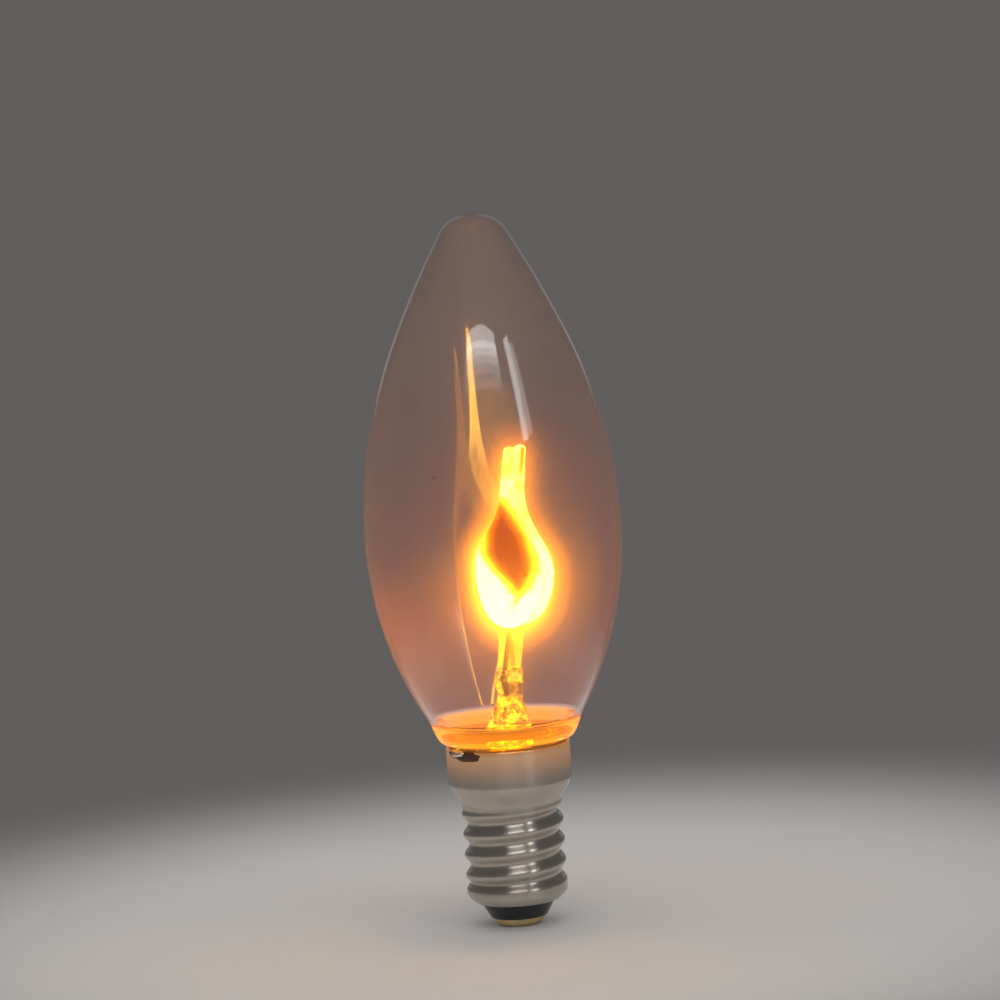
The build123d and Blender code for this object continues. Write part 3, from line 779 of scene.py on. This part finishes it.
def sleeve_points(rows=40, columns=64):
    """An oval tube between the press and the plates, closed at both ends: the half-widths narrow a
    little going down and go to nothing in the first and last rows."""
    way = np.linspace(0.0, 1.0, rows)[:, None]
    rise = PRESS_TOP + SLEEVE_LIFT + (PLATE_RISE + SLEEVE_OVERLAP - PRESS_TOP) * way
    close = np.minimum(1.0, 8 * np.sqrt(np.minimum(way, 1 - way)))
    turn = np.linspace(0.0, TURN, columns + 1)
    across = PLATE_OFFSET * way + (SLEEVE_WIDE + SLEEVE_WIDER * way) * close * np.cos(turn)
    depth = (SLEEVE_DEEP + SLEEVE_DEEPER * way) * close * np.sin(turn)
    return on_mount(across, depth, rise)


sleeve_grid = sleeve_points()
sleeve, first = add_piece("lead_glow", sleeve_grid, "glowing_plate")
side_on = np.abs(np.cos(np.linspace(0.0, TURN, sleeve_grid.shape[1]))) ** 1.5
keep(sleeve, "side_on", np.broadcast_to(side_on, sleeve_grid.shape[:2]).reshape(-1)[first])
sleeve_finish, graph, shader = new_finish(
    "lead_glow", Base_Color=(0, 0, 0, 1), Roughness=1.0, Specular_IOR_Level=0.0,
    Emission_Color=(1.0, 0.52, 0.0, 1), Emission_Strength=3.4)
feed(graph, shader, "Alpha", 0.06 + kept(graph, "side_on") * 0.34)
wear(sleeve, sleeve_finish)
sleeve.visible_shadow = False

# %% [markdown]
# ## The screw cap
# The cap is rolled from thin nickelled sheet: a collar, a shoulder, a barrel with a coarse round
# thread, and a lip turned in at the foot. It could be a turned shape with a screw modifier. Here the
# radius of the turned profile simply dips along a helix, inside and outside alike, as in rolled sheet.

# %% Screw cap
CAP_SHEET = 0.3
BARREL_RADIUS, COLLAR_RADIUS = 6.945, 8.5
LIP_RADIUS, LIP_HEIGHT, LIP_BEVEL = 5.195, 3.2, 1.1
BARREL_TOP, COLLAR_BOTTOM = 17.3, 19.6
THREAD_PITCH, THREAD_DEPTH = 2.822, 0.75
THREAD_START, THREAD_END, THREAD_FADE = 5.0, 16.9, 1.4


def thread_dip(height, turn):
    """How far the sheet dips at this height and turn: a raised cosine of the height less the helix's
    climb, faded in and out at the two ends of the thread."""
    wave = 0.5 - 0.5 * np.cos(TURN * height / THREAD_PITCH - turn)
    fade_in = smooth_step(THREAD_START, THREAD_START + THREAD_FADE, height)
    fade_out = smooth_step(THREAD_END, THREAD_END - THREAD_FADE, height)
    return THREAD_DEPTH * wave * fade_in * fade_out


def cap_points(columns=160):
    """The sheet's outline turned about the axis: down the outside, round the lip and up the inside, less
    the dip of the thread. The small lengths beside a corner say how far it is rounded."""
    outside = [
        (COLLAR_RADIUS - CAP_SHEET / 2, CAP_TOP), (COLLAR_RADIUS, CAP_TOP), (COLLAR_RADIUS, CAP_TOP - 0.4),
        (COLLAR_RADIUS, COLLAR_BOTTOM + 0.8), (COLLAR_RADIUS, COLLAR_BOTTOM), (BARREL_RADIUS, BARREL_TOP),
        (BARREL_RADIUS, BARREL_TOP - 0.8), (BARREL_RADIUS, LIP_HEIGHT + LIP_BEVEL + 0.5),
        (BARREL_RADIUS, LIP_HEIGHT + LIP_BEVEL), (BARREL_RADIUS - LIP_BEVEL, LIP_HEIGHT),
        (LIP_RADIUS + 0.2, LIP_HEIGHT), (LIP_RADIUS, LIP_HEIGHT),
    ]
    barrel, collar = BARREL_RADIUS - CAP_SHEET, COLLAR_RADIUS - CAP_SHEET
    inside = [
        (LIP_RADIUS, LIP_HEIGHT + CAP_SHEET), (BARREL_RADIUS - LIP_BEVEL - 0.12, LIP_HEIGHT + CAP_SHEET),
        (barrel, LIP_HEIGHT + LIP_BEVEL + 0.12), (barrel, BARREL_TOP + 0.1),
        (collar, COLLAR_BOTTOM + 0.15), (collar, CAP_TOP), (COLLAR_RADIUS - CAP_SHEET / 2, CAP_TOP),
    ]
    sheet = spread(np.concatenate([soften(outside, 4), soften(inside, 2)]), 360)
    turn = np.linspace(0.0, TURN, columns + 1)
    radius = sheet[:, :1] - thread_dip(sheet[:, 1:], turn)
    return np.stack([radius * np.cos(turn), radius * np.sin(turn), sheet[:, 1:] + 0 * turn], axis=-1)


screw_cap, _ = add_piece("screw_cap", cap_points()[:, ::-1], "cap_nickel", "cap_shell")

# %% [markdown]
# ## The glass stem
# A glass tube is flared at one end, where it is melted to the neck, and pressed flat at the other
# round the two leads. A small hole is blown through its side for pumping. Its sections go from round
# to oval, so it is a profile of two half-widths carried up the leaning axis.

# %% Glass stem
BLOW_HOLE_RISE, BLOW_HOLE_TURN = 9.7, np.radians(-36.0)
BLOW_HOLE_RADIUS, BLOW_HOLE_DEPTH = 0.55, 0.42
PRESS_RADIUS = 2.4
OUTSIDE_SHARE = 0.62
STEM_LINE = [
    (0.0, 0.0, 14.9), (0.9, 2.0, 14.92), (1.5, 2.6, 14.85), (1.75, 2.62, 13.9), (1.95, 2.62, 13.2),
    (1.6, 2.6, 12.5), (1.35, 2.58, 11.5), (1.6, 2.62, 10.4), (2.4, 2.76, 9.0), (2.95, 2.92, 7.6),
    (3.2, 3.2, 5.6), (3.2, 3.2, 3.6), (3.3, 3.3, 2.0), (4.2, 4.2, 0.5), (5.4, 5.4, 0.05), (6.5, 6.5, 0.0),
    (6.56, 6.56, -0.3), (6.5, 6.5, -0.6), (5.3, 5.3, -0.5), (4.0, 4.0, -0.1), (2.8, 2.8, 1.4),
    (2.6, 2.6, 3.6), (2.6, 2.6, 5.4), (2.4, 2.45, 6.8), (1.9, 2.2, 8.0), (1.1, 1.3, 8.4), (0.0, 0.0, 8.4),
]


def stem_points(rows=320, columns=144):
    """Ovals up the axis: the half-widths and the rise come from the softened stem line, and the blow
    hole is a dimple, the fourth power of the distance from it under an exponential. A sine of the turn
    and the rise ripples the press."""
    line = spread(soften(STEM_LINE, 4), rows)
    wide, deep, rise = line[:, :1], line[:, 1:2], line[:, 2:]
    turn = np.linspace(0.0, TURN, columns + 1)
    outside = (np.arange(rows) < rows * OUTSIDE_SHARE)[:, None]
    away = np.angle(np.exp(1j * (turn - BLOW_HOLE_TURN))) * PRESS_RADIUS
    gap = ((rise - BLOW_HOLE_RISE) ** 2 + away ** 2) / BLOW_HOLE_RADIUS ** 2
    dimple = BLOW_HOLE_DEPTH * np.exp(-gap ** 2) * outside
    ripple = 0.03 * np.sin(3 * turn + 2.1 * rise) * smooth_step(8.0, 9.5, rise) * outside
    scale = 1 - dimple + ripple
    return on_mount(wide * scale * np.cos(turn), deep * scale * np.sin(turn), rise)


stem, _ = add_piece("pressed_stem", stem_points()[:, ::-1], "stem_glass", "glass_stem")

# %% [markdown]
# The pressed glass is full of seams and tiny bubbles, which catch the light of the flame above it. That
# light
# is painted in: the glass is tinted amber and glows faintly, with brighter painted glints where the noise is
# high. A share of rough glass gives the frosting, and noise in the bump the streaks.

# %% Stem glass finish
STEM_BEND, FROST_SHARE = 1.52, 0.08
# Painted light: the amber base colour and the emission stand in for the flame's light in the stem.
stem_finish, graph, shader = new_finish(
    "stem_glass", Base_Color=(1.0, 0.76, 0.2, 1), Roughness=0.02, IOR=STEM_BEND, Transmission_Weight=1.0,
    Emission_Strength=1.0)
point, _ = place_of(graph)
streak = cloud(graph, point, 700.0, 2.0)
roughen(graph, shader, streak, 0.25, 0.0006)
# Painted glints: emission where the noise is high, for the flame's light caught in seams and bubbles.
painted_glints = ramp(graph, streak, 0.52, 0.72, "LINEAR")
feed(graph, shader, "Emission Color", mix_colour(graph, painted_glints, (0.1, 0.034, 0.0, 1), (2.4, 1.25, 0.02, 1)))
frost = rough_glass(graph, (1.0, 0.6, 0.1), 0.3, STEM_BEND)
clear = Shade(graph.tree, shader.outputs[0])
show(graph, graph.node("ShaderNodeMixShader", None, {0: FROST_SHARE, 1: clear, 2: frost}))
wear(stem, stem_finish)
stem.visible_shadow = False
# The exhaust tube gets the same painted glow.
wear(bpy.data.objects["exhaust_tube"], stem_finish)
print("frosted share of the stem:", FROST_SHARE)

# %% [markdown]
# Rolled sheet keeps a fine grain round the axis, which draws its highlights out along the cap. Lines in the
# mesh would be too coarse for it, so the Anisotropic socket does that. The plating is blotched, and it turns
# darker and browner at the rim: partly dirt and partly painted shade under the overhanging glass. Towards
# the top it also has a painted orange glow, standing in for the light of the bead above it.

# %% Nickel finish
NICKEL_ROUGH = 0.2
RIM_DARKENS_FROM = 24.3
WARM_FROM, WARM_FULL = 19.5, 25.5
# The emission strength is for the painted glow from the bead.
nickel_finish, graph, shader = new_finish(
    "cap_nickel", Metallic=1.0, Anisotropic=0.8, Anisotropic_Rotation=0.25, Emission_Strength=0.3)
point, (_, _, z) = place_of(graph)
blotch = cloud(graph, point, 260.0, 4.0)
grain = cloud(graph, point, 2400.0, 2.0)
# Painted shade and dirt: the base colour turns dark brown towards the rim, under the overhanging glass.
rim_shade_and_dirt = ramp(graph, z, RIM_DARKENS_FROM * MM, CAP_TOP * MM, "LINEAR")
bright = mix_colour(graph, blotch, (0.66, 0.62, 0.56, 1), (0.5, 0.46, 0.41, 1))
feed(graph, shader, "Base Color", mix_colour(graph, rim_shade_and_dirt * 0.6, bright, (0.3, 0.17, 0.08, 1)))
feed(graph, shader, "Roughness", NICKEL_ROUGH + blotch * 0.16 + grain * 0.06)
roughen(graph, shader, grain, 0.15, 0.0001)
# Painted light: an orange emission towards the top of the collar, for the light of the bead above it.
painted_glow_from_bead = ramp(graph, z, WARM_FROM * MM, WARM_FULL * MM)
feed(graph, shader, "Emission Color", mix_colour(graph, painted_glow_from_bead, (0, 0, 0, 1), (1.0, 0.4, 0.08, 1)))
wear(screw_cap, nickel_finish)
print("nickel roughness from", NICKEL_ROUGH)

# %% [markdown]
# ## Cement, solder and flux
# The neck is stuck in the collar with brown cement that squeezes up unevenly. The wire is bent over
# the rim and soldered, which leaves a shiny lump with burnt flux beside it. Each is a small surface
# with a few sines in it, which is enough to take away the machined look.

# %% Cement
CEMENT_INNER, CEMENT_OUTER, CEMENT_BOTTOM = 7.32, 8.18, 20.4
CEMENT_TOP = (24.45, 24.65, 25.05, 25.2)


def cement_points(columns=160):
    """A closed ring of six corners turned about the axis. The top corners go up and down with the
    turn as a sum of three sines."""
    turn = np.linspace(0.0, TURN, columns + 1)
    wave = 0.10 * np.sin(5 * turn + 1) + 0.06 * np.sin(11 * turn) + 0.04 * np.sin(17 * turn + 2)
    radius = np.array([
        CEMENT_OUTER, CEMENT_OUTER, CEMENT_OUTER - 0.2, CEMENT_INNER + 0.3, CEMENT_INNER, CEMENT_INNER])
    height = np.array([CEMENT_BOTTOM, *CEMENT_TOP, CEMENT_BOTTOM])
    moves = np.array([0.0, 1.0, 1.0, 1.0, 0.7, 0.0])
    order = [0, 1, 2, 3, 4, 5, 0]
    radius, height, moves = radius[order][:, None], height[order][:, None], moves[order][:, None]
    return np.stack([radius * np.cos(turn), radius * np.sin(turn), height + moves * wave], axis=-1)


cement, _ = add_piece("cement_ring", cement_points(), "brown_cement", "basing_cement")
cement_finish, graph, shader = new_finish("brown_cement", Roughness=0.75)
point, _ = place_of(graph)
grit = cloud(graph, point, 1500.0, 4.0)
feed(graph, shader, "Base Color", mix_colour(graph, grit, (0.10, 0.05, 0.02, 1), (0.32, 0.17, 0.07, 1)))
roughen(graph, shader, grit, 0.6, 0.0003)
wear(cement, cement_finish)

# %% [markdown]
# Molten solder draws itself into a dome with a wavy foot, and flux burns to a thin crust beside it.
# Metaballs would melt into such lumps, but they ignore the round of the collar. So a dome is bent round
# it, and one function makes both.

# %% Solder lump and burnt flux
SOLDER_TURN, SOLDER_HEIGHT = np.radians(216.0), 24.78
FLUX_TURN, FLUX_HEIGHT = SOLDER_TURN + 0.11, 24.45


def lump_points(turn_at, height_at, half_length, half_height, swell, sink, seed, rows=40, columns=64):
    """A dome on the collar: the foot is an oval made uneven by three sines, the height off the metal
    is a root of one less the square of the way out, and the foot ends inside the metal."""
    way = np.linspace(0.0, 1.0, rows)[:, None]
    round_it = np.linspace(0.0, TURN, columns + 1)
    wobble = 0.10 * np.sin(2 * round_it + seed) + 0.08 * np.sin(3 * round_it + 2 * seed)
    uneven = 1 + (wobble + 0.05 * np.sin(7 * round_it)) * way
    along = half_length * way * np.cos(round_it) * uneven
    rise = half_height * way * np.sin(round_it) * uneven
    ripple = 0.12 * np.sin(2.3 * along + seed) * np.cos(3.1 * rise + seed)
    off = (swell + sink) * np.sqrt(1 - way ** 2) * (1 + ripple) - sink
    turn = turn_at + along / COLLAR_RADIUS
    radius = COLLAR_RADIUS + off
    dome = np.stack([radius * np.cos(turn), radius * np.sin(turn), height_at + rise], axis=-1)
    base = np.broadcast_to(dome[-1].mean(axis=0), dome[-1:].shape)
    return np.concatenate([dome, base])[:, ::-1]


solder_dome = lump_points(
    SOLDER_TURN, SOLDER_HEIGHT, half_length=1.25, half_height=0.62, swell=0.72, sink=0.12, seed=1.0)
flux_crust = lump_points(
    FLUX_TURN, FLUX_HEIGHT, half_length=3.3, half_height=0.78, swell=0.17, sink=0.1, seed=2.6)
solder, _ = add_piece("solder_lump", solder_dome, "solder", "collar_solder")
flux, _ = add_piece("burnt_flux", flux_crust, "brown_cement")

# %% [markdown]
# Solder is the brightest metal on the lamp and has a frosted skin, so noise moves its roughness. Burnt flux
# is dark and glassy. The drop of solder under the contact gets the same finish as the lump.

# %% Solder and flux finishes
solder_finish, graph, shader = new_finish("solder", Metallic=1.0, Base_Color=(0.78, 0.77, 0.75, 1))
point, _ = place_of(graph)
frost = cloud(graph, point, 1800.0, 3.0)
feed(graph, shader, "Roughness", 0.12 + frost * 0.3)
roughen(graph, shader, frost, 0.3, 0.0002)
wear(solder, solder_finish)
wear(bpy.data.objects["end_solder"], solder_finish)

flux_finish, graph, shader = new_finish("burnt_flux", Roughness=0.3)
point, _ = place_of(graph)
crust = cloud(graph, point, 1300.0, 4.0)
feed(graph, shader, "Base Color", mix_colour(graph, crust, (0.008, 0.004, 0.003, 1), (0.11, 0.04, 0.015, 1)))
roughen(graph, shader, crust, 0.5, 0.0003)
wear(flux, flux_finish)

# %% [markdown]
# ## Small finishes
# The wires, the resistor, the insulator and the contact keep their measured meshes, which are round
# and smooth already, and get finishes of their own. One helper makes a metal with a little mottling.

# %% Small finishes
def mottled(name, first, second, metallic, rough, scale):
    """A finish between two colours by noise, whose roughness follows the same noise."""
    material, graph, shader = new_finish(name, Metallic=metallic)
    point, _ = place_of(graph)
    noise = cloud(graph, point, scale, 4.0)
    feed(graph, shader, "Base Color", mix_colour(graph, noise, (*first, 1), (*second, 1)))
    feed(graph, shader, "Roughness", rough + noise * 0.2)
    return material


lead_finish = mottled("lead_nickel", (0.2, 0.14, 0.1), (0.1, 0.06, 0.04), 1.0, 0.35, 900.0)
wire_finish = mottled("tinned_wire", (0.62, 0.58, 0.52), (0.45, 0.4, 0.34), 1.0, 0.2, 900.0)
vitrite_finish = mottled("black_vitrite", (0.006, 0.006, 0.007), (0.02, 0.019, 0.02), 0.0, 0.12, 500.0)
brass_finish = mottled("contact_brass", (0.72, 0.55, 0.28), (0.5, 0.34, 0.15), 1.0, 0.2, 700.0)
lacquer_finish = mottled("resistor_lacquer", (0.55, 0.38, 0.2), (0.46, 0.3, 0.15), 0.0, 0.25, 600.0)
for node, finish in {
    "front_lead": lead_finish, "rear_lead": lead_finish, "collar_wire": wire_finish,
    "resistor_wire": wire_finish, "contact_wire": wire_finish, "cap_insulator": vitrite_finish,
    "end_contact": brass_finish, "series_resistor": lacquer_finish,
}.items():
    wear(bpy.data.objects[node], finish)
print("small finishes: 5")

# %% [markdown]
# ## Size change
# The box round the solids, taken at the start, is set against the box round what is seen now, and the
# change in size is printed.

low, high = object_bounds()
print("size change in mm:", [round((b - a) / MM, 2) for a, b in zip(cad_high - cad_low, high - low)])
